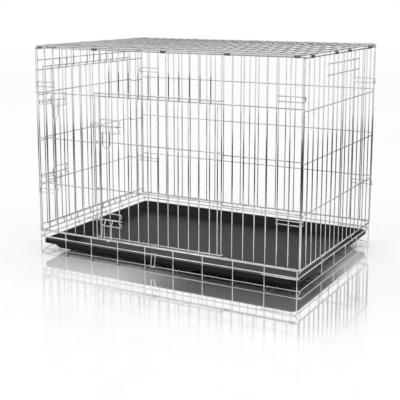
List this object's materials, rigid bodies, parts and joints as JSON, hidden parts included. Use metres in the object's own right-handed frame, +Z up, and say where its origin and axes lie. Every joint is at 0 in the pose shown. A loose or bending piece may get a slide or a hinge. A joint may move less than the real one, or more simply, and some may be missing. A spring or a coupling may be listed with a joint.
{
  "type": "wire dog crate",
  "caption": "Folding wire dog crate of welded panels with a front door and an end door, sliding bolt latches and a plastic tray that slides out under the left end.",
  "frame": {"origin": "centre of the bounding box footprint, on the floor", "axes": "+X along the crate, the end with the door at -X; +Y from the front door side to the back; +Z up"},
  "size_m": [0.958, 0.6666, 0.6937],
  "materials": {
    "zinc_base": "bright zinc plated wire",
    "zinc_front": "bright zinc plated wire",
    "zinc_back": "bright zinc plated wire",
    "zinc_roof": "bright zinc plated wire",
    "zinc_wire": "bright zinc plated wire",
    "zinc_clip": "bright zinc plated wire",
    "zinc_door": "bright zinc plated wire",
    "zinc_bolt": "bright zinc plated wire",
    "zinc_left": "bright zinc plated wire",
    "zinc_end_door": "bright zinc plated wire",
    "zinc_right": "bright zinc plated wire",
    "tray_plastic": "moulded black plastic",
    "zinc_stop": "bright zinc plated wire"
  },
  "bodies": {
    "frame": {"base_grid": "zinc_base", "front_panel": "zinc_front", "back_panel": "zinc_back", "roof_panel": "zinc_roof", "front_catch_upper": "zinc_wire", "front_catch_lower": "zinc_wire", "clip_front_low_1": "zinc_clip", "clip_front_low_2": "zinc_clip", "clip_front_low_3": "zinc_clip", "clip_front_low_4": "zinc_clip", "clip_front_low_5": "zinc_clip", "clip_back_low_1": "zinc_clip", "clip_back_low_2": "zinc_clip", "clip_back_low_3": "zinc_clip", "clip_back_low_4": "zinc_clip", "clip_back_low_5": "zinc_clip", "clip_front_top_1": "zinc_clip", "clip_front_top_2": "zinc_clip", "clip_front_top_3": "zinc_clip", "clip_front_top_4": "zinc_clip", "clip_front_top_5": "zinc_clip", "clip_back_top_1": "zinc_clip", "clip_back_top_2": "zinc_clip", "clip_back_top_3": "zinc_clip", "clip_back_top_4": "zinc_clip", "clip_back_top_5": "zinc_clip", "clip_left_top_1": "zinc_clip", "clip_left_top_2": "zinc_clip", "clip_left_top_3": "zinc_clip", "clip_left_top_4": "zinc_clip", "clip_right_top_1": "zinc_clip", "clip_right_top_2": "zinc_clip", "clip_right_top_3": "zinc_clip", "clip_right_top_4": "zinc_clip"},
    "front_door": {"front_door": "zinc_door", "front_guide_upper": "zinc_wire", "front_guide_lower": "zinc_wire"},
    "front_bolt_upper": {"front_bolt_upper": "zinc_bolt"},
    "front_bolt_lower": {"front_bolt_lower": "zinc_bolt"},
    "left_end": {"left_end_panel": "zinc_left", "end_catch_upper": "zinc_wire", "end_catch_lower": "zinc_wire"},
    "left_end_door": {"left_end_door": "zinc_end_door", "end_guide_upper": "zinc_wire", "end_guide_lower": "zinc_wire"},
    "end_bolt_upper": {"end_bolt_upper": "zinc_bolt"},
    "end_bolt_lower": {"end_bolt_lower": "zinc_bolt"},
    "right_end": {"right_end_panel": "zinc_right"},
    "tray": {"tray": "tray_plastic"},
    "pan_stop": {"pan_stop": "zinc_stop"},
    "front_loop": {"front_loop": "zinc_stop"}
  },
  "joints": [
    {"name": "front_door_hinge", "type": "hinge", "parent": "frame", "child": "front_door", "pos_m": [0.22206, -0.31184, 0.3], "axis": [0, 0, 1], "range_deg": [0, 124]},
    {"name": "front_bolt_upper_slide", "type": "slide", "parent": "front_door", "child": "front_bolt_upper", "axis": [1, 0, 0], "range_m": [-0.01, 0.02]},
    {"name": "front_bolt_lower_slide", "type": "slide", "parent": "front_door", "child": "front_bolt_lower", "axis": [1, 0, 0], "range_m": [-0.01, 0.02]},
    {"name": "left_end_fold", "type": "hinge", "parent": "frame", "child": "left_end", "pos_m": [-0.45755, 0.00616, 0.681], "axis": [0, -1, 0], "range_deg": [0, 76]},
    {"name": "left_end_door_hinge", "type": "hinge", "parent": "left_end", "child": "left_end_door", "pos_m": [-0.45755, 0.23866, 0.35], "axis": [0, 0, 1], "range_deg": [-124, 0]},
    {"name": "end_bolt_upper_slide", "type": "slide", "parent": "left_end_door", "child": "end_bolt_upper", "axis": [0, 1, 0], "range_m": [-0.01, 0.02]},
    {"name": "end_bolt_lower_slide", "type": "slide", "parent": "left_end_door", "child": "end_bolt_lower", "axis": [0, 1, 0], "range_m": [-0.01, 0.02]},
    {"name": "right_end_fold", "type": "hinge", "parent": "frame", "child": "right_end", "pos_m": [0.47245, 0.00616, 0.681], "axis": [0, 1, 0], "range_deg": [0, 86]},
    {"name": "tray_slide", "type": "slide", "parent": "frame", "child": "tray", "axis": [1, 0, 0], "range_m": [-0.9, 0]},
    {"name": "pan_stop_hinge", "type": "hinge", "parent": "frame", "child": "pan_stop", "pos_m": [-0.45355, 0.00616, 0.0588], "axis": [0, -1, 0], "range_deg": [-20, 72]},
    {"name": "front_loop_hinge", "type": "hinge", "parent": "frame", "child": "front_loop", "pos_m": [-0.00855, -0.31724, 0.057], "axis": [-1, 0, 0], "range_deg": [-15, 120]}
  ]
}
